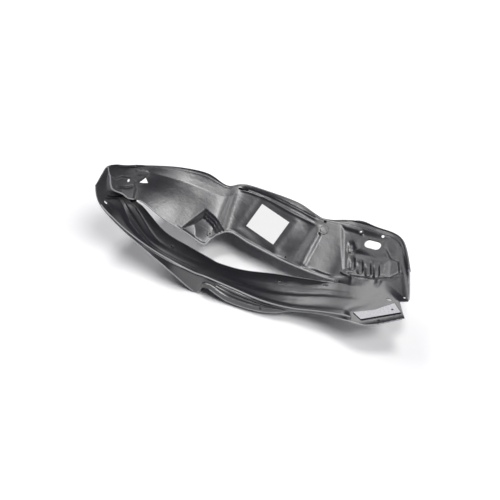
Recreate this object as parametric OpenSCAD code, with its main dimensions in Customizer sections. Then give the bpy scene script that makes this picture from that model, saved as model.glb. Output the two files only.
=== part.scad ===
// Front wheel arch liner: one moulded sheet, lying on its crown with the wheel side up.
// X runs from the rear end to the front end, Y from the outer lip to the inboard side.

/* [Overall size] */
// Length from the rear end to the front corner
liner_l = 840; // [740:5:940]
// Width from the outer lip to the inboard hem
liner_w = 330; // [290:5:380]
// Height of the rear end above the floor
liner_h = 316; // [270:2:360]
// Thickness of the moulded sheet
wall = 2.6; // [2:0.1:3.4]

/* [Outer lip] */
// Width of the rounded edge of the lip
lip_round = 0.16; // [0.08:0.01:0.3]
// Depth of the two slots along the outer wall
slot_depth = 4; // [2:0.5:6]
// Height of the ribs that stiffen the rear of the arch
rib_h = 7; // [3:0.5:10]
// Height of the long ridge along the crown
ridge_h = 5; // [2:0.5:8]

/* [Inboard wall] */
// Depth of the clip pocket beside the strut opening
pocket_depth = 12; // [6:1:16]
// Height of the three beads along the inboard crest
bead_h = 4; // [2:0.5:6]
// Depth of the hollow in front of the label
hollow_depth = 12; // [5:1:16]
// Height of the stiffening pad at the rear of the wall
rear_pad_h = 3; // [1.5:0.5:4]
// Height of the lip at the front end of the strut opening
edge_lip_h = 4; // [2:0.5:5]

/* [Front panel] */
// Depth of the recess in the front panel
recess_depth = 9; // [4:1:12]
// Depth of the collar around the oval service hole
collar_h = 8; // [5:1:12]
// Height of the raised bumper pad at the front corner
pad_h = 8; // [4:1:12]
// Length of the oval service hole
service_l = 46; // [36:1:54]
// Width of the oval service hole
service_w = 26; // [18:1:32]

/* [Fastening holes] */
// Diameter of the clip holes
clip_d = 8; // [6:0.5:10]
// Diameter of the screw holes
screw_d = 6; // [4:0.5:8]
// Length of the adjustment slots
slot_l = 16; // [12:1:22]
// Width of the adjustment slots
slot_w = 6; // [4:0.5:8]

/* [Label] */
// Length of the blank label
label_l = 94; // [70:1:100]
// Width of the blank label
label_w = 75; // [55:1:80]
// Thickness of the blank label
label_t = 0.4; // [0.3:0.1:0.8]

/* [Hidden] */
plastic = [0.16, 0.16, 0.17];
paper = [0.95, 0.95, 0.94];

// The rails run from the rear end to the front end, with one point for each of 16 stations.
// They are drawn for a liner of this size and follow the three overall sizes.
drawn = [840, 330, 316];
grow = [liner_l / drawn[0], liner_w / drawn[1], liner_h / drawn[2]];
outer_edge = [
    [-397, 1, 312], [-400, 1, 271], [-392, 1, 234], [-364, 0, 195],
    [-329, -1, 160], [-270, -8, 121], [-200, -14, 74], [-131, -6, 3],
    [-95, -8, 46], [-30, -7, 15], [60, -7, 18], [140, 2, 42],
    [215, 4, 66], [290, -10, 98], [350, -18, 112], [437, 18, 140]];
lip = [
    [-393, 0, 312], [-396, 0, 272], [-388, 0, 236], [-360, 0, 198],
    [-325, 0, 163], [-265, 0, 125], [-200, 0, 98], [-135, 0, 81],
    [-100, 0, 77], [-30, 0, 66], [60, 0, 50], [140, 0, 55],
    [215, 0, 79], [290, -4, 106], [350, -6, 120], [428, 28, 148]];
crown_edge = [
    [-398, 66, 315], [-399, 62, 280], [-394, 52, 240], [-383, 100, 188],
    [-352, 137, 118], [-275, 115, 65], [-200, 111, 37], [-135, 104, 24],
    [-100, 101, 18], [-30, 106, 15], [60, 120, 24], [140, 120, 42],
    [215, 120, 62], [290, 112, 98], [350, 108, 122], [408, 70, 140]];
wall_edge = [
    [-396, 69, 315], [-396, 66, 280], [-390, 56, 240], [-367, 76, 205],
    [-330, 104, 174], [-265, 99, 137], [-200, 95, 114], [-135, 90, 100],
    [-102, 156, 93], [-30, 146, 84], [60, 133, 75], [140, 123, 73],
    [215, 126, 66], [290, 122, 98], [350, 118, 122], [434, 72, 135]];
shoulder = [
    [-392, 74, 314], [-385, 95, 302], [-378, 112, 280], [-362, 135, 262],
    [-325, 165, 238], [-265, 199, 207], [-200, 215, 185], [-135, 227, 165],
    [-102, 258, 158], [-30, 262, 148], [60, 240, 140], [140, 238, 128],
    [215, 236, 120], [290, 228, 126], [350, 215, 130], [412, 150, 138]];
crest = [
    [-388, 80, 312], [-378, 98, 298], [-362, 122, 282], [-345, 148, 268],
    [-320, 180, 250], [-265, 229, 222], [-200, 262, 196], [-140, 254, 176],
    [-102, 280, 169], [-30, 287, 162], [60, 287, 156], [130, 268, 146],
    [215, 284, 142], [285, 281, 146], [355, 265, 147], [403, 170, 146]];
hem = [
    [-384, 86, 309], [-371, 113, 283], [-357, 148, 253], [-345, 188, 215],
    [-325, 226, 165], [-272, 272, 90], [-205, 292, 25], [-140, 298, 2],
    [-100, 300, 2], [-30, 302, 2], [60, 302, 2], [135, 296, 12],
    [215, 290, 132], [288, 287, 138], [360, 270, 139], [410, 172, 138]];
rails = [outer_edge, lip, crown_edge, wall_edge, shoulder, crest, hem];

// Places along (s, in stations) and across (v, in rails) of the lines of the sheet
s_end = len(outer_edge) - 1;
s_lines = concat(
    [for (s = [0 : 0.25 : 5.75]) s], [for (s = [5.875 : 0.125 : 7.5]) s], [for (s = [7.75 : 0.25 : s_end]) s]);
v_lines = [
    0, 0.2, 0.34, 0.42, 0.54, 0.62, 0.7, 0.78, 0.86, 0.93, 1, 1.08, 1.16, 1.24, 1.31, 1.38,
    1.46, 1.54, 1.62, 1.7, 1.8, 1.9, 2,
    3, 3.1, 3.25, 3.4, 3.55, 3.7, 3.82, 3.94, 4.06, 4.18, 4.32, 4.46, 4.62, 4.8, 5, 5.3, 5.65, 6];
gap_column = 22;
opening_from = 3.75;
opening_to = 12.25;

// Between the lip and the strut opening four lines of the sheet follow its ribs and grooves
led = [1.24, 1.38, 1.54, 1.7];
ways = [
    [1.24, 1.36, 1.56, 1.7, 1.3, 1.15, 1.16, 1.2, 1.18, 1.17, 1.17, 1.2, 1.22, 1.24, 1.24, 1.24],
    [1.38, 1.5, 1.7, 1.81, 1.46, 1.26, 1.27, 1.32, 1.3, 1.3, 1.32, 1.43, 1.52, 1.5, 1.42, 1.38],
    [1.54, 1.65, 1.8, 1.88, 1.64, 1.4, 1.42, 1.48, 1.48, 1.48, 1.5, 1.6, 1.66, 1.62, 1.56, 1.54],
    [1.7, 1.78, 1.88, 1.94, 1.78, 1.56, 1.58, 1.65, 1.66, 1.66, 1.67, 1.74, 1.78, 1.74, 1.7, 1.7]];

// Holes as [s, v, diameter], and slots as [s, v, length, width]
holes = [
    [10.2, 1.8, clip_d], [11.15, 4.55, clip_d], [13.3, 4.64, clip_d], [2.98, 3.57, clip_d],
    [10.18, 3.1, screw_d], [7.05, 3.2, screw_d], [12.43, 4.52, screw_d], [14.78, 3, screw_d],
    [10.03, 0.3, screw_d]];
slots = [
    [2.25, 1.42, slot_l, slot_w], [11.85, 1.88, slot_l, slot_w], [12.53, 3.2, slot_l, slot_w],
    [14.45, 1.73, slot_l, slot_w], [8.1, 4.26, slot_l * 1.8, slot_w]];
service_place = [12.98, 4.15];

// Raised discs as [s, v, radius, height]
discs = [[11.15, 4.08, 13, 2], [12.43, 4.52, 8, 3], [7.05, 3.2, 7.5, 2], [2.62, 1.43, 9, 1.5]];
// Ribs of the front recess, each from one place to another
front_ribs = [
    [[12.15, 4.08], [12.3, 3.82]], [[12.35, 3.66], [12.5, 3.4]], [[12.65, 3.62], [12.85, 3.32]],
    [[12.95, 3.64], [13.15, 3.24]], [[13.35, 3.64], [13.55, 3.2]], [[13.72, 3.7], [13.95, 3.26]]];

// Outlines in plan, at the drawn size
pocket_plan = [[-219, 90], [-172, 168], [-100, 152]];
panel_plan = [
    [186, 266], [232, 150], [286, 128], [326, 126], [366, 138], [388, 160], [374, 198], [308, 242],
    [240, 262]];
recess_plan = [
    [228, 236], [236, 150], [286, 128], [326, 126], [362, 142], [350, 205], [300, 214], [262, 222]];
hollow_line = [[95, 147], [122, 212]];
hollow_w = 24;
window_plan = [[-350, 127], [-335, 149], [-326, 145]];
// The rear pad's upper edge and the bead across it, as [s, v]
rear_pad_edge = [[0.8, 3], [1.3, 3.31], [2.31, 3.71], [3.01, 3.73], [3.37, 3.61], [3.54, 3.39], [3.6, 2.9]];
rear_bead = [[2.3, 3.24], [2.87, 3.29], [3.35, 3.42]];
// The bumper pad and its screw hole, from the middle of its seat
pad_plan = [[-66, 13], [48, 15], [58, -16], [-46, -12]];
pad_hole = [40, -3];

function clamp(x, a, b) = min(max(x, a), b);
function ease(x) = let (t = clamp(x, 0, 1)) t * t * (3 - 2 * t);
function window(x, a, b, soft) = ease((x - a) / soft) * ease((b - x) / soft);
function bump(x) = abs(x) < 1 ? pow(1 - x * x, 2) : 0;
function unit(a) = a / norm(a);

// A smooth curve through the points of a rail
function along(p, s) =
    let (
        n = len(p) - 1,
        i = clamp(floor(s), 0, n - 1),
        t = clamp(s, 0, n) - i,
        a = p[max(i - 1, 0)],
        b = p[i],
        c = p[i + 1],
        d = p[min(i + 2, n)])
    0.5 * (2 * b + (c - a) * t + (2 * a - 5 * b + 4 * c - d) * t * t
        + (3 * b - a - 3 * c + d) * t * t * t);

// Straight from rail to rail, inside the range that belongs together
function straight(s, v, v_from, v_to) =
    let (
        w = clamp(v, v_from, v_to),
        i = min(floor(w), len(rails) - 2),
        t = w - i)
    along(rails[i], s) * (1 - t) + along(rails[i + 1], s) * t;

// How far the folds at the rails are rounded
function softness(v) = v < 1.6 ? lip_round : v < 3 ? 0.3 : v < 4.6 ? 0.45 : 0.28;

// The sheet without its ribs and recesses
function base(s, v) =
    let (
        open = window(s, opening_from - 1, opening_to + 0.6, 0.6),
        low = v < 2.5 ? 0 : 3,
        high = v < 2.5 ? 2 : 6,
        room = v < 2.5 ? min(v, 2 - v) : min(v - 3, 6 - v),
        r = softness(v) * (1 - open) + min(softness(v), max(room, 0)) * open,
        ends = min(r, v, 6 - v),
        from = open > 0 ? low : 0,
        to = open > 0 ? high : 6)
    (straight(s, v - ends, from, to) + 2 * straight(s, v - ends / 2, from, to)
        + 3 * straight(s, v, from, to) + 2 * straight(s, v + ends / 2, from, to)
        + straight(s, v + ends, from, to)) / 9;

// Signed distance in plan from a line, positive to its right
function right_of(p, a, b) =
    let (d = unit(b - a)) (p[0] - a[0]) * d[1] - (p[1] - a[1]) * d[0];
// Distance in plan to the inside of a convex outline that is drawn anticlockwise
function inside(p, outline) =
    min([for (i = [0 : len(outline) - 1]) -right_of(p, outline[i], outline[(i + 1) % len(outline)])]);
// Distance in plan to a stretch of line
function from_line(p, a, b) =
    let (t = clamp((p - a) * (b - a) / ((b - a) * (b - a)), 0, 1)) norm(p - a - t * (b - a));

// Where a line of the sheet runs, and which line runs through a place
function way(s) = [for (w = ways) along(w, s)];
function across(s, v) =
    let (w = way(s))
    v <= 1 || v >= 2 ? v
    : lookup(v, [[1, 1], [led[0], w[0]], [led[1], w[1]], [led[2], w[2]], [led[3], w[3]], [2, 2]]);
function line_at(s, v) =
    let (w = way(s))
    v <= 1 || v >= 2 ? v
    : lookup(v, [[1, 1], [w[0], led[0]], [w[1], led[1]], [w[2], led[2]], [w[3], led[3]], [2, 2]]);

// Long ribs up the rear of the arch, with a groove between them
function rear_ribs(s, q) =
    rib_h * window(s, 1.8, 7.6, 1.2) * (
        0.9 * bump((q - led[0]) / 0.1) + 0.9 * bump((q - led[1]) / 0.1)
        - 0.8 * bump((q - led[2]) / 0.12) + 0.8 * bump((q - led[3]) / 0.1));

// The long ridge and the raised strip beside the strut opening
function crown_relief(s, q) =
    ridge_h * window(s, 7.8, 13.8, 1.2) * (
        bump((q - led[1]) / 0.12) - 0.7 * bump((q - led[0]) / 0.1)
        - 0.6 * bump((q - led[2]) / 0.12) + 0.7 * ease((q - 1.62) / 0.08) * ease((2.05 - q) / 0.1));

// Two slots along the outer wall, above a ledge
function lip_relief(s, v) =
    -slot_depth * window(s, 7.9, 10.6, 0.5) * bump((v - 0.86) / 0.1)
    - slot_depth * window(s, 8.3, 10.6, 0.5) * bump((v - 0.62) / 0.1)
    + 1.4 * slot_depth * window(s, 7.6, 11, 0.6) * ease((0.42 - v) / 0.1);

// The clip pocket steps down from its upper and its right side
function pocket_relief(p) =
    let (
        left = right_of(p, pocket_plan[0], pocket_plan[1]) / 10,
        right = right_of(p, pocket_plan[1], pocket_plan[2]) / 26,
        in = min(left, right))
    in <= 0 ? 0 : -pocket_depth * (ease(in * 2.4) + ease(in * 2.4 - 1.2)) / 2;

// A groove below the rear crest, and three beads along the crest above the label
function crest_relief(s, v) =
    -bead_h * window(s, 3, 8.2, 0.8) * bump((v - 3.93) / 0.16)
    + bead_h * window(s, 7.9, 10.9, 0.4) * (
        bump((v - 4.18) / 0.12) + bump((v - 4.46) / 0.14) + bump((v - 4.8) / 0.18));

function hollow_relief(p) =
    -hollow_depth * bump(from_line(p, hollow_line[0], hollow_line[1]) / hollow_w)
    + 0.3 * hollow_depth * bump(from_line(p, [128, 138], [141, 216]) / 14);

// The pad at the rear with its bead, and the lip at the front end of the strut opening
function edge_relief(s, v) =
    rear_pad_h * ease((lookup(s, rear_pad_edge) - v) / 0.12)
    + rear_pad_h * window(s, 2.1, 3.5, 0.25) * bump((v - lookup(s, rear_bead)) / 0.1)
    + edge_lip_h * window(s, 10.9, 13.5, 0.5) * ease((3.12 - v) / 0.1);

// The recess of the front panel has two steps, inside a raised band along its rim
function front_relief(s, v, p) =
    -recess_depth * (0.35 * ease(inside(p, panel_plan) / 9) + 0.65 * ease(inside(p, recess_plan) / 12))
    - 0.5 * recess_depth * window(s, 10.8, 16, 0.5) * ease((v - 4.7) / 0.1) * ease((5.2 - v) / 0.2);

function relief(s, v, p) =
    v < 1 ? lip_relief(s, v)
    : v < 2.5 ? -6 * sin(180 * clamp(v - 1, 0, 1)) * window(s, 0.5, 14, 3)
        + (s < 7.7 ? rear_ribs(s, line_at(s, v)) : crown_relief(s, line_at(s, v)))
    : -8 * sin(180 * clamp(v - 3, 0, 1)) * window(s, 2, 8.5, 2)
        + pocket_relief(p) + crest_relief(s, v) + hollow_relief(p) + edge_relief(s, v) + front_relief(s, v, p);

function to_size(p) = [p[0] * grow[0], p[1] * grow[1], p[2] * grow[2]];
function raw_facing(s, v) =
    let (
        e = 0.04,
        a = to_size(base(min(s + e, s_end), v) - base(max(s - e, 0), v)),
        b = to_size(base(s, min(v + e, 6)) - base(s, max(v - e, 0))))
    unit(cross(a, b));
function raw_skin(s, v) =
    let (p = base(s, v)) to_size(p) + relief(s, v, [p[0], p[1]]) * raw_facing(s, v);

// A flat seat in the sheet: its middle, its axes, half its size, and the rails it keeps to
function seat(o, s, v, turn, half, v_from, v_to) =
    let (up = raw_facing(s, v), x = unit(cross([-sin(turn), cos(turn), 0], up)))
    [o, x, cross(up, x), up, half, v_from, v_to];
seat_margin = 4;
seat_blend = 20;
function lift(p, v, seat) =
    let (
        d = p - seat[0],
        past = max(abs(d * seat[1]) - seat[4][0], abs(d * seat[2]) - seat[4][1]) - seat_margin,
        kept = v < seat[5] || v > seat[6] + 0.6 ? 0 : ease((seat[6] + 0.5 - v) / 0.4),
        height = d * seat[3])
    -(1 - ease(past / seat_blend)) * kept * ease((24 - abs(height)) / 12) * height * seat[3];
function settle(p, v, seats) = p + [for (q = seats) 1] * [for (q = seats) lift(p, v, q)];

// The label, the bumper pad and the service hole have wide seats, and each hole a small one
label_seat = seat(raw_skin(9.33, 3.55), 9.33, 3.55, -16, [label_l / 2, label_w / 2], 3, 4.1);
pad_seat = seat(raw_skin(14.2, 1.22), 14.2, 1.22, 24, [60, 16], 0, 1.7);
service_seat = seat(
    raw_skin(service_place[0], service_place[1]), service_place[0], service_place[1], -3,
    [service_l / 2, service_w / 2], 3, 4.7);
function seated(s, v) = settle(raw_skin(s, v), v, [label_seat, pad_seat, service_seat]);
hole_seats = [
    for (h = holes)
        let (near = h[1] < 2.5)
        seat(seated(h[0], h[1]), h[0], h[1], 0, [14, near && h[1] < 1 ? 3 : 8], near ? 0 : 2, near ? 2 : 4.6)];
function skin(s, v) = settle(seated(s, v), v, hole_seats);

rows = len(s_lines);
columns = len(v_lines);
top = [for (s = s_lines) [for (v = v_lines) skin(s, across(s, v))]];
function normal_at(i, j) =
    let (
        a = top[min(i + 1, rows - 1)][j] - top[max(i - 1, 0)][j],
        b = top[i][min(j + 1, columns - 1)] - top[i][max(j - 1, 0)])
    unit(cross(a, b));
function present(i, j) =
    i >= 0 && i < rows - 1 && j >= 0 && j < columns - 1
    && !(j == gap_column && s_lines[i] >= opening_from && s_lines[i] < opening_to);
function at(i, j, side) = side * rows * columns + i * columns + j;
function two(a, b, c, d) = [[a, b, c], [a, c, d]];
function edge(i, j, k, l) = two(at(i, j, 0), at(k, l, 0), at(k, l, 1), at(i, j, 1));

under = [for (i = [0 : rows - 1]) for (j = [0 : columns - 1]) top[i][j] - wall * normal_at(i, j)];
points = concat([for (row = top) for (p = row) p], under);
lowest = [for (k = [0 : 2]) min([for (p = points) p[k]])];
highest = [for (k = [0 : 2]) max([for (p = points) p[k]])];
home = [-(lowest[0] + highest[0]) / 2, -(lowest[1] + highest[1]) / 2, -lowest[2]];

module sheet() {
    faces = [
        for (i = [0 : rows - 2])
            for (j = [0 : columns - 2])
                if (present(i, j))
                    each concat(
                        two(at(i, j, 0), at(i, j + 1, 0), at(i + 1, j + 1, 0), at(i + 1, j, 0)),
                        two(at(i, j, 1), at(i + 1, j, 1), at(i + 1, j + 1, 1), at(i, j + 1, 1)),
                        present(i - 1, j) ? [] : edge(i, j + 1, i, j),
                        present(i + 1, j) ? [] : edge(i + 1, j, i + 1, j + 1),
                        present(i, j - 1) ? [] : edge(i, j, i + 1, j),
                        present(i, j + 1) ? [] : edge(i + 1, j + 1, i, j + 1))];
    polyhedron(points, faces);
}

// Axes with this origin, x, y and z
module axes(o, x, y, z) {
    multmatrix([
        [x[0], y[0], z[0], o[0]],
        [x[1], y[1], z[1], o[1]],
        [x[2], y[2], z[2], o[2]],
        [0, 0, 0, 1]])
        children();
}

module on_seat(seat) {
    axes(seat[0], seat[1], seat[2], seat[3])
        children();
}

// Axes on the sheet at a place: along it, across it and out of it
module on_sheet(place) {
    s = place[0];
    v = place[1];
    out = raw_facing(s, v);
    ahead = base(min(s + 0.05, s_end), v) - base(max(s - 0.05, 0), v);
    x = unit(ahead - (ahead * out) * out);
    axes(skin(s, v), x, cross(out, x), out)
        children();
}

// A disc on the sheet, from one height to another
module disc(r, from, to) {
    translate([0, 0, from])
        cylinder(h = to - from, r = r, $fn = 40);
}

module oval(length, width, from, to) {
    half = (length - width) / 2;
    for (side = [-1, 1])
        translate([side * half, 0, 0])
            disc(width / 2, from, to);
    translate([-half, -width / 2, from])
        cube([2 * half, width, to - from]);
}

// A rib that fades out at both ends
module fading_rib(from, to) {
    out = raw_facing(from[0], from[1]);
    a = skin(from[0], from[1]);
    b = skin(to[0], to[1]);
    z = unit(b - a);
    x = unit(cross(out, z));
    half = norm(b - a) / 2 + 5;
    axes((a + b) / 2 + 0.3 * out, x, cross(z, x), z)
        rotate_extrude($fn = 20)
            polygon([[0, -half], [0.8 * rib_r, -0.75 * half], [rib_r, 0], [0.8 * rib_r, 0.75 * half], [0, half]]);
}

reach = 6;
rib_r = 2.8;
module liner() {
    color(plastic)
        translate(home)
            difference() {
                union() {
                    sheet();
                    for (d = discs)
                        on_sheet(d)
                            disc(d[2], -wall / 2, d[3]);
                    for (r = front_ribs)
                        fading_rib(r[0], r[1]);
                    on_seat(service_seat)
                        oval(service_l + 2 * wall, service_w + 2 * wall, -collar_h, -wall / 2);
                    on_seat(pad_seat)
                        translate([0, 0, -wall / 2])
                            linear_extrude(pad_h + wall / 2)
                                polygon(pad_plan);
                }
                for (i = [0 : len(holes) - 1])
                    on_seat(hole_seats[i])
                        disc(holes[i][2] / 2, -reach, reach);
                on_seat(pad_seat)
                    translate(pad_hole)
                        disc(screw_d / 2, -reach, pad_h + reach);
                for (h = slots)
                    on_sheet(h)
                        oval(h[2], h[3], -reach, reach);
                on_seat(service_seat)
                    oval(service_l, service_w, -collar_h - reach, reach);
                translate([0, 0, 0.48 * liner_h])
                    linear_extrude(0.48 * liner_h)
                        polygon([for (q = window_plan) [q[0] * grow[0], q[1] * grow[1]]]);
            }
}

module label() {
    clear = 0.05;
    color(paper)
        translate(home)
            on_seat(label_seat)
                translate([-label_l / 2, -label_w / 2, clear])
                    cube([label_l, label_w, label_t]);
}

liner();
label();
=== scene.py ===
import math

import bpy
import numpy as np
from mathutils import Matrix, Vector
from mathutils.kdtree import KDTree


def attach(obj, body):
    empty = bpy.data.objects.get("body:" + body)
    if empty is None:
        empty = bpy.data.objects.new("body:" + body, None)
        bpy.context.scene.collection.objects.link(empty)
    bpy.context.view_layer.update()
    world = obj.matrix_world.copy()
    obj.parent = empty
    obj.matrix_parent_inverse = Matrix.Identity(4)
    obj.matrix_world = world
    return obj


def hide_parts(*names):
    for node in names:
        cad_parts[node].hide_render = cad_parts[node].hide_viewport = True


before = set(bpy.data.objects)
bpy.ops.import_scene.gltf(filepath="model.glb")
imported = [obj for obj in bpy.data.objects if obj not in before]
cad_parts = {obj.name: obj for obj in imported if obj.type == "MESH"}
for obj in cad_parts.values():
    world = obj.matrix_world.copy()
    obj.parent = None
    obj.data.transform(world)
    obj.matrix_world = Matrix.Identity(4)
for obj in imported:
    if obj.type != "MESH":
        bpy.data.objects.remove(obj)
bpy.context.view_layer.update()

# The sheet runs through these rails, from the rear end to the front end, in millimetres.
RAILS = {
    "outer_edge": [
        (-397, 1, 312), (-400, 1, 271), (-392, 1, 234), (-364, 0, 195),
        (-329, -1, 160), (-270, -8, 121), (-200, -14, 74), (-131, -6, 3),
        (-95, -8, 46), (-30, -7, 15), (60, -7, 18), (140, 2, 42),
        (215, 4, 66), (290, -10, 98), (350, -18, 112), (437, 18, 140)],
    "lip": [
        (-393, 0, 312), (-396, 0, 272), (-388, 0, 236), (-360, 0, 198),
        (-325, 0, 163), (-265, 0, 125), (-200, 0, 98), (-135, 0, 81),
        (-100, 0, 77), (-30, 0, 66), (60, 0, 50), (140, 0, 55),
        (215, 0, 79), (290, -4, 106), (350, -6, 120), (428, 28, 148)],
    "crown_edge": [
        (-398, 66, 315), (-399, 62, 280), (-394, 52, 240), (-383, 100, 188),
        (-352, 137, 118), (-275, 115, 65), (-200, 111, 37), (-135, 104, 24),
        (-100, 101, 18), (-30, 106, 15), (60, 120, 24), (140, 120, 42),
        (215, 120, 62), (290, 112, 98), (350, 108, 122), (408, 70, 140)],
    "wall_edge": [
        (-396, 69, 315), (-396, 66, 280), (-390, 56, 240), (-367, 76, 205),
        (-330, 104, 174), (-265, 99, 137), (-200, 95, 114), (-135, 90, 100),
        (-102, 156, 93), (-30, 146, 84), (60, 133, 75), (140, 123, 73),
        (215, 126, 66), (290, 122, 98), (350, 118, 122), (434, 72, 135)],
    "shoulder": [
        (-392, 74, 314), (-385, 95, 302), (-378, 112, 280), (-362, 135, 262),
        (-325, 165, 238), (-265, 199, 207), (-200, 215, 185), (-135, 227, 165),
        (-102, 258, 158), (-30, 262, 148), (60, 240, 140), (140, 238, 128),
        (215, 236, 120), (290, 228, 126), (350, 215, 130), (412, 150, 138)],
    "crest": [
        (-388, 80, 312), (-378, 98, 298), (-362, 122, 282), (-345, 148, 268),
        (-320, 180, 250), (-265, 229, 222), (-200, 262, 196), (-140, 254, 176),
        (-102, 280, 169), (-30, 287, 162), (60, 287, 156), (130, 268, 146),
        (215, 284, 142), (285, 281, 146), (355, 265, 147), (403, 170, 146)],
    "hem": [
        (-384, 86, 309), (-371, 113, 283), (-357, 148, 253), (-345, 188, 215),
        (-325, 226, 165), (-272, 272, 90), (-205, 292, 25), (-140, 298, 2),
        (-100, 300, 2), (-30, 302, 2), (60, 302, 2), (135, 296, 12),
        (215, 290, 132), (288, 287, 138), (360, 270, 139), (410, 172, 138)],
}
RAIL_POINTS = [np.array(points, float) for points in RAILS.values()]
S_END = 15.0
V_END = 6.0
WALL = 2.6
OPENING = (3.75, 12.25)
# Added to the rails' points, it puts the origin in the middle of the part's base.
HOME = np.array([-17.33, -141.583, 0.891])

# Four lines of the crown band, and where they run beside each point of the rails
LED = [1.24, 1.38, 1.54, 1.7]
WAYS = [np.array(way)[:, None] for way in (
    [1.24, 1.36, 1.56, 1.7, 1.3, 1.15, 1.16, 1.2, 1.18, 1.17, 1.17, 1.2, 1.22, 1.24, 1.24, 1.24],
    [1.38, 1.5, 1.7, 1.81, 1.46, 1.26, 1.27, 1.32, 1.3, 1.3, 1.32, 1.43, 1.52, 1.5, 1.42, 1.38],
    [1.54, 1.65, 1.8, 1.88, 1.64, 1.4, 1.42, 1.48, 1.48, 1.48, 1.5, 1.6, 1.66, 1.62, 1.56, 1.54],
    [1.7, 1.78, 1.88, 1.94, 1.78, 1.56, 1.58, 1.65, 1.66, 1.66, 1.67, 1.74, 1.78, 1.74, 1.7, 1.7])]

LABEL_SIZE = (94, 75, 0.4)
LABEL_GAP = 0.05
SERVICE_SIZE = (46, 26)
COLLAR_H = 8
CLIP_R, SCREW_R = 4.0, 3.0
SLOT = (16, 6)


def ease(x):
    t = np.clip(x, 0, 1)
    return t * t * (3 - 2 * t)


def window(x, a, b, soft):
    return ease((x - a) / soft) * ease((b - x) / soft)


def bump(x):
    return (1 - np.minimum(x * x, 1)) ** 2


def unit(a):
    return a / np.maximum(np.linalg.norm(a, axis=-1, keepdims=True), 1e-9)


def along(points, s):
    n = len(points) - 1
    i = np.clip(np.floor(s), 0, n - 1).astype(int)
    t = (np.clip(s, 0, n) - i)[..., None]
    a, b, c, d = points[np.maximum(i - 1, 0)], points[i], points[i + 1], points[np.minimum(i + 2, n)]
    return 0.5 * (2 * b + (c - a) * t + (2 * a - 5 * b + 4 * c - d) * t * t
                  + (3 * b - a - 3 * c + d) * t ** 3)


def straight(s, v, low, high):
    w = np.clip(v, low, high)
    i = np.minimum(np.floor(w), len(RAIL_POINTS) - 2).astype(int)
    t = (w - i)[..., None]
    rails = np.stack([along(points, s) for points in RAIL_POINTS])
    pick = np.broadcast_to(i[None, ..., None], (1,) + i.shape + (3,))
    return np.take_along_axis(rails, pick, 0)[0] * (1 - t) + np.take_along_axis(rails, pick + 1, 0)[0] * t


def base(s, v):
    """The sheet without its ribs and recesses."""
    s, v = np.broadcast_arrays(np.asarray(s, float), np.asarray(v, float))
    opened = window(s, OPENING[0] - 1, OPENING[1] + 0.6, 0.6)
    near = v < 2.5
    soft = np.where(v < 1.6, 0.16, np.where(v < 3, 0.3, np.where(v < 4.6, 0.45, 0.28)))
    room = np.where(near, np.minimum(v, 2 - v), np.minimum(v - 3, V_END - v))
    r = soft * (1 - opened) + np.minimum(soft, np.maximum(room, 0)) * opened
    r = np.minimum(np.minimum(r, v), V_END - v)
    low = np.where((opened > 0) & ~near, 3, 0)
    high = np.where((opened > 0) & near, 2, 6)
    total = 0
    for step, weight in ((-1, 1), (-0.5, 2), (0, 3), (0.5, 2), (1, 1)):
        total = total + weight * straight(s, v + step * r, low, high)
    return total / 9


def facing(s, v, e=0.04):
    a = base(np.minimum(s + e, S_END), v) - base(np.maximum(s - e, 0), v)
    b = base(s, np.minimum(v + e, V_END)) - base(s, np.maximum(v - e, 0))
    return unit(np.cross(a, b))


def ways(s):
    return np.stack([along(way, s)[..., 0] for way in WAYS], -1)


def across(s, line):
    """Where a line of the sheet runs at s."""
    w = ways(s)
    out = np.array([np.interp(line, [1, *LED, 2], [1, *row, 2]) for row in w])
    return np.where((line <= 1) | (line >= 2), line, out)


def line_at(s, v):
    """Which line runs through a place."""
    flat_s, flat_v = s.ravel(), v.ravel()
    out = flat_v.copy()
    inner = (flat_v > 1) & (flat_v < 2)
    w = ways(flat_s[inner])
    knots = np.concatenate([np.ones((len(w), 1)), w, np.full((len(w), 1), 2.0)], 1)
    marks = np.array([1, *LED, 2])
    x = flat_v[inner][:, None]
    k = np.clip((x > knots).sum(1) - 1, 0, len(marks) - 2)
    rows = np.arange(len(w))
    t = (x[:, 0] - knots[rows, k]) / (knots[rows, k + 1] - knots[rows, k])
    out[inner] = marks[k] + t * (marks[k + 1] - marks[k])
    return out.reshape(v.shape)


def to_line(p, a, b):
    """Distance in plan to a stretch of line, and how far along it that is."""
    a, b = np.array(a, float), np.array(b, float)
    t = np.clip(((p - a) @ (b - a)) / ((b - a) @ (b - a)), 0, 1)
    return np.linalg.norm(p - a - t[..., None] * (b - a), axis=-1), t


def to_path(p, path):
    return np.min([to_line(p, a, b)[0] for a, b in zip(path, path[1:])], axis=0)


def inside(p, outline):
    """Distance in plan into an outline, negative outside it."""
    n = len(outline)
    far = np.min([to_line(p, outline[i], outline[(i + 1) % n])[0] for i in range(n)], axis=0)
    within = np.zeros(p.shape[:-1], bool)
    for i in range(n):
        (ax, ay), (bx, by) = outline[i], outline[(i + 1) % n]
        if ay == by:
            continue
        crosses = (ay > p[..., 1]) != (by > p[..., 1])
        within ^= crosses & (p[..., 0] < (bx - ax) * (p[..., 1] - ay) / (by - ay) + ax)
    return np.where(within, far, -far)


def crown_relief(s, v):
    q = line_at(s, v)
    rear = 5.5 * window(s, 1.8, 7.6, 1.2) * (0.12 + 0.88 * ease((5.7 - s) / 1.4)) * (
        0.9 * bump((q - LED[0]) / 0.07) + 0.9 * bump((q - LED[1]) / 0.07)
        - 0.8 * bump((q - LED[2]) / 0.1) + 0.8 * bump((q - LED[3]) / 0.07))
    front = 2.4 * window(s, 7.8, 13.6, 2.2) * (
        bump((q - LED[1]) / 0.1) - 0.7 * bump((q - LED[0]) / 0.09)
        - 0.6 * bump((q - LED[2]) / 0.1) + 0.7 * ease((q - 1.66) / 0.04) * ease((2.05 - q) / 0.1))
    trough = -6 * np.sin(np.pi * np.clip(v - 1, 0, 1)) * window(s, 0.5, 14, 3)
    return trough + rear + front


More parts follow.
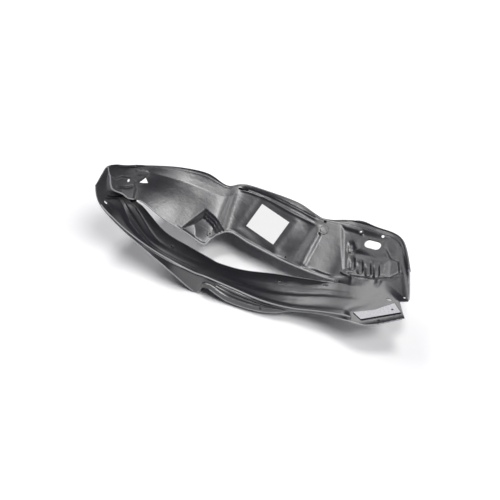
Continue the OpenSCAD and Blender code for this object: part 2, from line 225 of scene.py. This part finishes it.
def lip_relief(s, v):
    return (-4 * window(s, 7.9, 10.6, 0.3) * bump((v - 0.86) / 0.08)
            - 4 * window(s, 8.3, 10.6, 0.3) * bump((v - 0.62) / 0.08)
            + 5.6 * window(s, 7.6, 11, 0.4) * ease((0.42 - v) / 0.06))


# The clip pocket in plan: its left corner, its top and its right end
POCKET = [(-219, 90), (-172, 168), (-100, 152)]


def pocket_relief(p):
    corner, apex, right = (np.array(q, float) for q in POCKET)
    edge = unit(right - apex)
    right_in = (p - apex)[..., 0] * edge[1] - (p - apex)[..., 1] * edge[0]
    d = p - corner
    angle = np.degrees(np.arctan2(d[..., 1], d[..., 0]))
    top = math.degrees(math.atan2(*(apex - corner)[::-1]))
    reach = np.clip(np.linalg.norm(d, axis=-1) / 45, 0, 1)
    left = ease((top - angle) / 13) * (angle > -60)
    steps = (ease(right_in / 4) + ease((right_in - 8) / 4) + ease((right_in - 16) / 4)) / 3
    return -(12 + 6 * ease((145 - p[..., 1]) / 55)) * np.minimum(left * reach, steps) * (right_in > 0)


HOLLOW_LINE = ((76, 158), (102, 218))
RIDGE_LINE = ((128, 138), (141, 216))
RIDGE_SIDE = (78, -13)


def wall_relief(s, v, p):
    sag = -4 * np.sin(np.pi * np.clip(v - 3, 0, 1)) * window(s, 2, 8.5, 2)
    crest = (window(s, 3.6, 8.2, 0.9) * bump((v - 3.84) / 0.4)
             + 1.8 * window(s, 7.9, 10.9, 0.3) * (
                 bump((v - 4.18) / 0.09) + bump((v - 4.46) / 0.1) + bump((v - 4.8) / 0.12)))
    hollow = -4 * bump(to_line(p, *HOLLOW_LINE)[0] / 40)
    in_front = (p - RIDGE_LINE[0]) @ RIDGE_SIDE > 0
    ridge = 5 * bump(to_line(p, *RIDGE_LINE)[0] / np.where(in_front, 9, 30))
    rim = 2 * ease((3.05 - v) / 0.03) * window(s, 5.4, 11.2, 0.3)
    lip = 4 * ease((3.12 - v) / 0.08) * window(s, 10.9, 13.5, 0.5)
    return sag + crest + hollow + ridge + rim + lip + rear_pad_relief(s, v, p) + pocket_relief(p)


# The rear pad's upper edge, the bead across it as (s, v), and the flap's fold in plan
REAR_PAD = [(0.8, 3), (1.3, 3.31), (2.31, 3.71), (3.01, 3.73), (3.37, 3.61), (3.54, 3.39), (3.6, 2.9)]
REAR_BEAD = [(2.3, 3.24), (2.87, 3.29), (3.35, 3.42)]
FLAP_FOLD = ((-352, 136), (-333, 154))


def rear_pad_relief(s, v, p):
    edge = np.interp(s, *zip(*REAR_PAD))
    bead = np.interp(s, *zip(*REAR_BEAD))
    out = 3 * ease((edge - v) / 0.09) * (v >= 3)
    out = out + 3 * window(s, 2.15, 3.4, 0.2) * bump((v - bead) / 0.06)
    flap = 2 * bump(to_line(p, *FLAP_FOLD)[0] / 5) * window(s, 3, 4.6, 0.2) * (v > 3.6)
    return out + flap


# The front panel in plan
PANEL = [
    (186, 266), (232, 150), (286, 128), (326, 126), (366, 138), (388, 160), (374, 198), (350, 207),
    (330, 231), (308, 241), (264, 250), (246, 262), (232, 263), (200, 263)]
RECESS = [
    (228, 236), (236, 156), (286, 132), (326, 129), (362, 142), (350, 205), (300, 214), (262, 222)]
FLUTES = [
    ((228, 235), (236, 208)), ((242, 199), (254, 163)), ((265, 193), (279, 154)),
    ((288, 191), (302, 149)), ((312, 191), (325, 145))]
PANEL_BEAD = [(388, 160), (366, 138), (326, 126), (286, 128), (234, 148)]
CROWN_BEAD = [(262, 137), (285, 122), (315, 114)]
RIGHT_GROOVE = ((364, 248), (421, 92))


def front_relief(s, v, p):
    depth = inside(p, RECESS)
    out = -3.2 * ease(inside(p, PANEL) / 10) - 3 * ease(depth / 20)
    for a, b in FLUTES:
        d, t = to_line(p, a, b)
        out = out - 3.4 * ease((9 - d) / 4) * ease(t / 0.6) * (depth > -20)
    out = out + 2 * bump(to_path(p, PANEL_BEAD) / 5)
    out = out + 2.5 * bump(to_path(p, CROWN_BEAD) / 4)
    out = out - 2.5 * window(s, 10.8, 16, 0.3) * ease((v - 4.72) / 0.06) * ease((5.1 - v) / 0.1)
    side = to_line(p, *RIGHT_GROOVE)[0]
    out = out - bump(side / 10) * (v < 5)
    return out


def place(s, v):
    return np.array([s], float), np.array([v], float)


def raw_skin(s, v):
    p = base(s, v)
    plan = p[..., :2]
    near = v < 2.5
    height = np.where(v < 1, lip_relief(s, v), np.where(near, crown_relief(s, v), 0))
    far = np.where(near, 0, wall_relief(s, v, plan) + front_relief(s, v, plan))
    return p + (height + far)[..., None] * facing(s, v)


def seat(middle, s, v, turn, half, low, high):
    """A flat place in the sheet: its middle, its axes, half its size and the rails it keeps to."""
    up = facing(*place(s, v))[0]
    c, d = math.cos(math.radians(turn)), math.sin(math.radians(turn))
    x = unit(np.cross([-d, c, 0], up))
    return middle, x, np.cross(up, x), up, half, low, high


def lift(p, v, at):
    middle, x, y, up, half, low, high = at
    d = p - middle
    past = np.maximum(np.abs(d @ x) - half[0], np.abs(d @ y) - half[1]) - 4
    kept = np.where((v < low) | (v > high + 0.6), 0, ease((high + 0.5 - v) / 0.4))
    height = d @ up
    return -((1 - ease(past / 20)) * kept * ease((24 - np.abs(height)) / 12) * height)[..., None] * up


def settle(p, v, seats):
    return p + sum(lift(p, v, at) for at in seats)


def wide_seat(s, v, turn, half, low, high):
    return seat(raw_skin(*place(s, v))[0], s, v, turn, half, low, high)


LABEL_SEAT = wide_seat(9.33, 3.55, -16, (LABEL_SIZE[0] / 2, LABEL_SIZE[1] / 2), 3, 4.1)
PAD_SEAT = wide_seat(14.2, 1.22, 24, (60, 16), 0, 1.7)
SERVICE_SEAT = wide_seat(12.98, 4.15, -3, (SERVICE_SIZE[0] / 2, SERVICE_SIZE[1] / 2), 3, 4.7)
WIDE_SEATS = [LABEL_SEAT, PAD_SEAT, SERVICE_SEAT]
# The bumper pad in its seat's axes, and how near its middle and its top a face is to get the grained
# material, whose light grey is a painted highlight
PAD = [(-44, -13), (62, -18), (50, 18), (-4, 9), (-62, 17)]
PAD_HOLE = (40, -3)
PAD_H = 3.5
PAD_GRAIN_AND_HIGHLIGHT_REACH = (64, 20, 0.5)
# How near a rim's middle a face is to get the light grey edge colour, a painted highlight
RIM_HIGHLIGHT_REACH = 2.05
# Raised discs as (s, v, radius, height), holes as (s, v, radius) and slots as (s, v, length)
DISCS = [(11.15, 4.08, 13, 2), (12.43, 4.52, 7.5, 3), (7.05, 3.2, 7.5, 2), (2.62, 1.43, 9, 1.5),
         (5.58, 1.69, 6, 2.5), (14.33, 0.43, 5, 2)]
HOLES = [
    (10.2, 1.8, CLIP_R), (11.15, 4.55, CLIP_R), (13.3, 4.64, CLIP_R), (2.98, 3.57, CLIP_R),
    (10.18, 3.1, SCREW_R), (7.05, 3.2, SCREW_R), (12.43, 4.52, SCREW_R), (14.78, 3, SCREW_R),
    (10.03, 0.3, SCREW_R)]
SLOTS = [
    (2.25, 1.42, SLOT[0]), (11.85, 1.88, SLOT[0]), (12.53, 3.2, SLOT[0]), (14.45, 1.73, SLOT[0]),
    (8.1, 4.26, 28.8)]
# The small window at the rear in plan, and the heights between which it is cut
WINDOW_PLAN = [(-350, 127), (-326, 145), (-335, 149)]
WINDOW_HEIGHTS = (150, 300)


def smooth_skin(s, v):
    return settle(raw_skin(s, v), v, WIDE_SEATS)


def spaced(*runs):
    """Numbers from run to run: each is (from, to, how many steps)."""
    out = [np.linspace(a, b, n, endpoint=False) for a, b, n in runs]
    return np.concatenate(out + [[runs[-1][1]]])


def new_mesh(name, points, faces):
    mesh = bpy.data.meshes.new(name)
    mesh.from_pydata([tuple(q) for q in (np.asarray(points) + HOME) * 0.001], [], faces)
    mesh.update()
    obj = bpy.data.objects.new(name, mesh)
    bpy.context.collection.objects.link(obj)
    return obj


def build_sheet():
    s_lines = spaced((0, 3.75, 50), (3.75, 5.5, 28), (5.5, 8.25, 84), (8.25, 11, 46), (11, 15, 102))
    v_near = spaced((0, 1, 20), (1, 2, 32))
    v_gap = np.linspace(2, 3, 6)[1:-1]
    v_far = spaced((3, 3.12, 6), (3.12, 4, 42), (4, 5, 26), (5, 6, 7))
    lines = np.concatenate([v_near, v_gap, v_far])
    rows, columns = len(s_lines), len(lines)
    gap_from, gap_to = len(v_near) - 1, len(v_near) + len(v_gap)
    v_grid = across(s_lines, lines)
    s_grid = np.repeat(s_lines[:, None], columns, 1)
    top = smooth_skin(s_grid, v_grid)
    share = (np.arange(gap_from, gap_to + 1) - gap_from) / (gap_to - gap_from)
    a, b = top[:, gap_from], top[:, gap_to]
    top[:, gap_from:gap_to + 1] = a[:, None] + share[None, :, None] * (b - a)[:, None]

    def slope(axis):
        out = np.empty_like(top)
        t = np.moveaxis(top, axis, 0)
        o = np.moveaxis(out, axis, 0)
        o[1:-1] = t[2:] - t[:-2]
        o[0] = t[1] - t[0]
        o[-1] = t[-1] - t[-2]
        return out

    ds, dv = slope(0), slope(1)
    opened = (s_lines > OPENING[0] - 1e-6) & (s_lines < OPENING[1] + 1e-6)
    dv[opened, gap_from] = top[opened, gap_from] - top[opened, gap_from - 1]
    dv[opened, gap_to] = top[opened, gap_to + 1] - top[opened, gap_to]
    under = top - WALL * unit(np.cross(ds, dv))

    present = np.ones((rows - 1, columns - 1), bool)
    inner = (s_lines[:-1] > OPENING[0] - 1e-6) & (s_lines[:-1] < OPENING[1] - 1e-6)
    present[np.ix_(inner, range(gap_from, gap_to))] = False
    padded = np.zeros((rows + 1, columns + 1), bool)
    padded[1:-1, 1:-1] = present
    number = np.arange(rows * columns).reshape(rows, columns)
    under_number = number + rows * columns
    faces = []
    for i, j in zip(*np.nonzero(present)):
        ring = [(i, j), (i, j + 1), (i + 1, j + 1), (i + 1, j)]
        faces.append([number[q] for q in ring[::-1]])
        faces.append([under_number[q] for q in ring])
        beside = (padded[i, j + 1], padded[i + 1, j + 2], padded[i + 2, j + 1], padded[i + 1, j])
        for k in range(4):
            if not beside[k]:
                q, r = ring[k], ring[(k + 1) % 4]
                faces.append([number[q], number[r], under_number[r], under_number[q]])
    points = np.concatenate([top.reshape(-1, 3), under.reshape(-1, 3)])
    used = np.unique(np.concatenate([np.array(f) for f in faces]))
    renumber = np.full(len(points), -1)
    renumber[used] = np.arange(len(used))
    return new_mesh("liner_skin", points[used], [[int(renumber[k]) for k in f] for f in faces])


def frame_on_sheet(s, v):
    """Origin, x, y and z on the sheet at a place."""
    out = facing(*place(s, v))[0]
    ahead = (base(*place(s + 0.05, v)) - base(*place(s - 0.05, v)))[0]
    x = unit(ahead - (ahead @ out) * out)
    return smooth_skin(*place(s, v))[0], x, np.cross(out, x), out


def prism(name, at, outline, low, high, taper=0):
    """A closed upright solid over an outline in the axes at a place, narrower by a taper at its top."""
    o, x, y, z = at
    n = len(outline)
    far = max(math.hypot(a, b) for a, b in outline)
    levels = ((low, 1), (high, 1 - taper / far))
    points = [o + k * a * x + k * b * y + h * z for h, k in levels for a, b in outline]
    faces = [list(range(n))[::-1], list(range(n, 2 * n))]
    faces += [[i, (i + 1) % n, n + (i + 1) % n, n + i] for i in range(n)]
    return new_mesh(name, points, faces)


def oval(length, width, n=24):
    half = (length - width) / 2
    out = []
    for k in range(2 * n):
        t = math.pi * (k + 0.5) / n - math.pi / 2
        out.append((math.copysign(half, math.cos(t)) + width / 2 * math.cos(t), width / 2 * math.sin(t)))
    return out


def circle(r):
    return oval(2 * r + 0.01, 2 * r)


rim_middles = []


def rim(s, v, r, depth=0):
    """A rounded bead along a run of places, sunk by a depth."""
    s, v = np.broadcast_arrays(np.asarray(s, float), np.asarray(v, float))
    out = facing(s, v)
    middle = smooth_skin(s, v) - depth * out
    way = unit(np.gradient(middle, axis=0))
    x = unit(np.cross(way, out))
    y = np.cross(x, way)
    n = 6
    turns = 2 * math.pi * (np.arange(n) + 0.5) / n
    rim_middles.append(middle)
    points = middle[:, None] + r * (np.cos(turns)[:, None] * x[:, None] + np.sin(turns)[:, None] * y[:, None])
    rows = len(middle)
    faces = [list(range(n))[::-1], list(range((rows - 1) * n, rows * n))]
    for i in range(rows - 1):
        a, b = i * n, (i + 1) * n
        faces += [[a + k, a + (k + 1) % n, b + (k + 1) % n, b + k] for k in range(n)]
    return new_mesh("rim", points.reshape(-1, 3), faces)


def combine(obj, others, operation):
    for other in others:
        mod = obj.modifiers.new(other.name, "BOOLEAN")
        mod.operation = operation
        mod.solver = "MANIFOLD"
        mod.object = other
    graph = bpy.context.evaluated_depsgraph_get()
    mesh = bpy.data.meshes.new_from_object(obj.evaluated_get(graph))
    obj.modifiers.clear()
    obj.data = mesh
    for other in others:
        bpy.data.objects.remove(other)


liner = build_sheet()
collar_at = SERVICE_SEAT[:4]
collar_outline = oval(SERVICE_SIZE[0] + 2 * WALL, SERVICE_SIZE[1] + 2 * WALL)
raised = [prism("collar", collar_at, collar_outline, -COLLAR_H, -WALL / 2)]
raised.append(prism("pad", PAD_SEAT[:4], PAD, -WALL / 2, PAD_H, 3))
for s, v, r, h in DISCS:
    raised.append(prism("disc", frame_on_sheet(s, v), circle(r), -WALL / 2, h, 1))
raised += [
    rim(np.linspace(1.9, 13.2, 150), 1, 1.7), rim(np.linspace(0.1, 3.6, 60), 3, 1.7),
    rim(np.linspace(4.3, 7.3, 60), 0, 1.9, WALL / 2), rim(np.linspace(8.2, 14.9, 80), 0, 1.9, WALL / 2),
    rim(np.linspace(3.9, 12.1, 150), 3, 1.9, WALL / 2),
    rim(np.linspace(3.9, 12.1, 120), 2, 1.9, WALL / 2), rim(S_END, np.linspace(3.1, 5.6, 50), 1.9, WALL / 2)]
combine(liner, raised, "UNION")
cuts = []
for s, v, r in HOLES:
    cuts.append(prism("cut", frame_on_sheet(s, v), circle(r), -7, 7))
pad_hole = [(x + PAD_HOLE[0], y + PAD_HOLE[1]) for x, y in circle(SCREW_R)]
cuts.append(prism("cut", PAD_SEAT[:4], pad_hole, -12, PAD_H + 12))
for s, v, length in SLOTS:
    cuts.append(prism("cut", frame_on_sheet(s, v), oval(length, SLOT[1]), -6, 6))
cuts.append(prism("cut", collar_at, oval(*SERVICE_SIZE), -24, 12))
plan_axes = (np.zeros(3), np.array([1.0, 0, 0]), np.array([0, 1.0, 0]), np.array([0, 0, 1.0]))
cuts.append(prism("cut", plan_axes, WINDOW_PLAN, *WINDOW_HEIGHTS))
combine(liner, cuts, "DIFFERENCE")
liner.data.shade_smooth()
liner.data.set_sharp_from_angle(angle=math.radians(38))
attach(liner, "root")
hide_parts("liner")

half_l, half_w = LABEL_SIZE[0] / 2, LABEL_SIZE[1] / 2
label_outline = [(-half_l, -half_w), (half_l, -half_w), (half_l, half_w), (-half_l, half_w)]
label = prism("label_skin", LABEL_SEAT[:4], label_outline, LABEL_GAP, LABEL_GAP + LABEL_SIZE[2])
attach(label, "root")
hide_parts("label")


class Nodes:
    """A material with its node tree, built from constant numbers."""

    def __init__(self, name):
        self.material = bpy.data.materials.new(name)
        self.material.use_nodes = True
        self.tree = self.material.node_tree
        self.shader = self.tree.nodes["Principled BSDF"]

    def node(self, kind, **sockets):
        made = self.tree.nodes.new(kind)
        for name, value in sockets.items():
            made.inputs[name.replace("_", " ")].default_value = value
        return made

    def link(self, a, b):
        self.tree.links.new(a, b)


def plastic():
    m = Nodes("black_plastic")
    m.shader.inputs["Base Color"].default_value = (0.013, 0.0125, 0.016, 1)
    m.shader.inputs["IOR"].default_value = 1.56
    m.shader.inputs["Specular IOR Level"].default_value = 1
    m.shader.inputs["Roughness"].default_value = 0.36
    where = m.node("ShaderNodeTexCoord").outputs["Object"]
    grain = m.node("ShaderNodeTexNoise", Scale=420.0, Detail=3.0)
    wave = m.node("ShaderNodeTexNoise", Scale=40.0, Detail=5.0)
    m.link(where, grain.inputs["Vector"])
    m.link(where, wave.inputs["Vector"])
    turned = m.node("ShaderNodeMapping", Rotation=(0.0, 0.0, 0.6), Scale=(70.0, 380.0, 380.0))
    brushed = m.node("ShaderNodeTexNoise", Scale=1.0, Detail=2.0)
    m.link(where, turned.inputs["Vector"])
    m.link(turned.outputs["Vector"], brushed.inputs["Vector"])
    scuffs = m.node("ShaderNodeBump", Strength=0.2, Distance=0.0008)
    m.link(brushed.outputs["Fac"], scuffs.inputs["Height"])
    fine = m.node("ShaderNodeBump", Strength=0.12, Distance=0.0004)
    broad = m.node("ShaderNodeBump", Strength=0.25, Distance=0.003)
    m.link(grain.outputs["Fac"], fine.inputs["Height"])
    m.link(wave.outputs["Fac"], broad.inputs["Height"])
    m.link(broad.outputs["Normal"], scuffs.inputs["Normal"])
    m.link(scuffs.outputs["Normal"], fine.inputs["Normal"])
    m.link(fine.outputs["Normal"], m.shader.inputs["Normal"])
    return m.material


def pad_grain_with_painted_highlight():
    """The coarse grain of the bumper pad, in a light grey that is a painted highlight on its black plastic.
    """
    m = Nodes("pad_grain_painted_highlight")
    # Light grey base colour: a painted highlight; the pad is black plastic, and only the grain bump is its
    # own
    m.shader.inputs["Base Color"].default_value = (0.62, 0.62, 0.64, 1)
    m.shader.inputs["Roughness"].default_value = 0.6
    grain = m.node("ShaderNodeTexNoise", Scale=300.0, Detail=2.0)
    m.link(m.node("ShaderNodeTexCoord").outputs["Object"], grain.inputs["Vector"])
    raised = m.node("ShaderNodeBump", Strength=1.0, Distance=0.004)
    m.link(grain.outputs["Fac"], raised.inputs["Height"])
    m.link(raised.outputs["Normal"], m.shader.inputs["Normal"])
    return m.material


def painted_edge_highlight():
    """The sheet's edges in light grey, a painted highlight."""
    m = Nodes("edge_painted_highlight")
    # Light grey base colour: a painted highlight along the edges of black plastic
    m.shader.inputs["Base Color"].default_value = (0.34, 0.34, 0.35, 1)
    m.shader.inputs["Roughness"].default_value = 0.4
    return m.material


def paper():
    m = Nodes("white_label")
    m.shader.inputs["Base Color"].default_value = (0.82, 0.82, 0.81, 1)
    m.shader.inputs["Roughness"].default_value = 0.5
    return m.material


for piece, material in ((liner, plastic()), (label, paper())):
    piece.data.materials.clear()
    piece.data.materials.append(material)

liner.data.materials.append(pad_grain_with_painted_highlight())
liner.data.materials.append(painted_edge_highlight())
# Faces near the rims' middles get the painted edge highlight
rim_points = np.concatenate([
    a + (b - a) * share for middles in rim_middles for a, b in zip(middles, middles[1:])
    for share in np.arange(0, 1, 0.2)[:, None, None]])
edge_tree = KDTree(len(rim_points))
for i, point in enumerate(rim_points):
    edge_tree.insert(Vector(point), i)
edge_tree.balance()
middle, x_axis, y_axis, out_axis = (Vector(q) for q in PAD_SEAT[:4])
# Faces on top of the bumper pad get the grained material with its painted highlight
for face in liner.data.polygons:
    centre = face.center * 1000 - Vector(HOME)
    d = centre - middle
    off_pad = (abs(d @ x_axis), abs(d @ y_axis), abs(d @ out_axis - PAD_H))
    if all(off < reach for off, reach in zip(off_pad, PAD_GRAIN_AND_HIGHLIGHT_REACH)):
        face.material_index = 1
    elif edge_tree.find(centre)[2] < RIM_HIGHLIGHT_REACH:
        face.material_index = 2

# Floor and light
floor_mesh = bpy.data.meshes.new("floor")
floor_mesh.from_pydata([(-6, -6, 0), (6, -6, 0), (6, 6, 0), (-6, 6, 0)], [], [(0, 1, 2, 3)])
floor = bpy.data.objects.new("floor", floor_mesh)
bpy.context.collection.objects.link(floor)
floor_look = Nodes("pale_floor")
floor_look.shader.inputs["Base Color"].default_value = (0.97, 0.97, 0.97, 1)
floor_look.shader.inputs["Roughness"].default_value = 0.8
floor.data.materials.append(floor_look.material)

# Soft lights as (name, azimuth from +Y towards +X, elevation, width in degrees, energy)
for name, azimuth, elevation, width, energy in (
        ("overhead", 0, 88, 14, 1.1), ("front_end", 120, 62, 18, 1.5), ("side", 96, 42, 24, 0.5),
        ("low_side", 90, 14, 16, 0.5), ("behind", 316, 34, 24, 0.75), ("rear_end", 272, 52, 22, 0.45)):
    light = bpy.data.lights.new(name, "SUN")
    light.energy = energy
    light.angle = math.radians(width)
    lamp = bpy.data.objects.new(name, light)
    a, e = math.radians(azimuth), math.radians(elevation)
    out = Vector((math.sin(a) * math.cos(e), math.cos(a) * math.cos(e), math.sin(e)))
    lamp.rotation_euler = out.to_track_quat("Z", "Y").to_euler()
    bpy.context.collection.objects.link(lamp)

world = bpy.data.worlds.new("studio")
world.use_nodes = True
tree = world.node_tree
fill = tree.nodes["Background"]
fill.inputs["Color"].default_value = (0.68, 0.66, 1.0, 1)
fill.inputs["Strength"].default_value = 0.05
white = tree.nodes.new("ShaderNodeBackground")
white.inputs["Color"].default_value = (1, 1, 1, 1)
white.inputs["Strength"].default_value = 1
seen = tree.nodes.new("ShaderNodeLightPath")
mix = tree.nodes.new("ShaderNodeMixShader")
tree.links.new(seen.outputs["Is Camera Ray"], mix.inputs[0])
tree.links.new(fill.outputs[0], mix.inputs[1])
tree.links.new(white.outputs[0], mix.inputs[2])
tree.links.new(mix.outputs[0], tree.nodes["World Output"].inputs["Surface"])
bpy.context.scene.world = world
bpy.context.scene.view_settings.view_transform = "Standard"

# Camera: 50 degrees above the floor, 2.5 m from the rails' own origin
right = Vector((0.9272, 0.3746, 0))
back = Vector((0.2408, -0.596, 0.766))
up = back.cross(right)
camera_data = bpy.data.cameras.new("camera")
camera_data.lens = 66.6
camera_data.sensor_width = 36
camera_data.clip_end = 50
camera = bpy.data.objects.new("camera", camera_data)
spot = (Vector((584.2, -1373.7, 2011.2)) + Vector(HOME)) * 0.001
camera.matrix_world = Matrix((
    (right.x, up.x, back.x, spot.x),
    (right.y, up.y, back.y, spot.y),
    (right.z, up.z, back.z, spot.z),
    (0, 0, 0, 1)))
bpy.context.collection.objects.link(camera)
bpy.context.scene.camera = camera
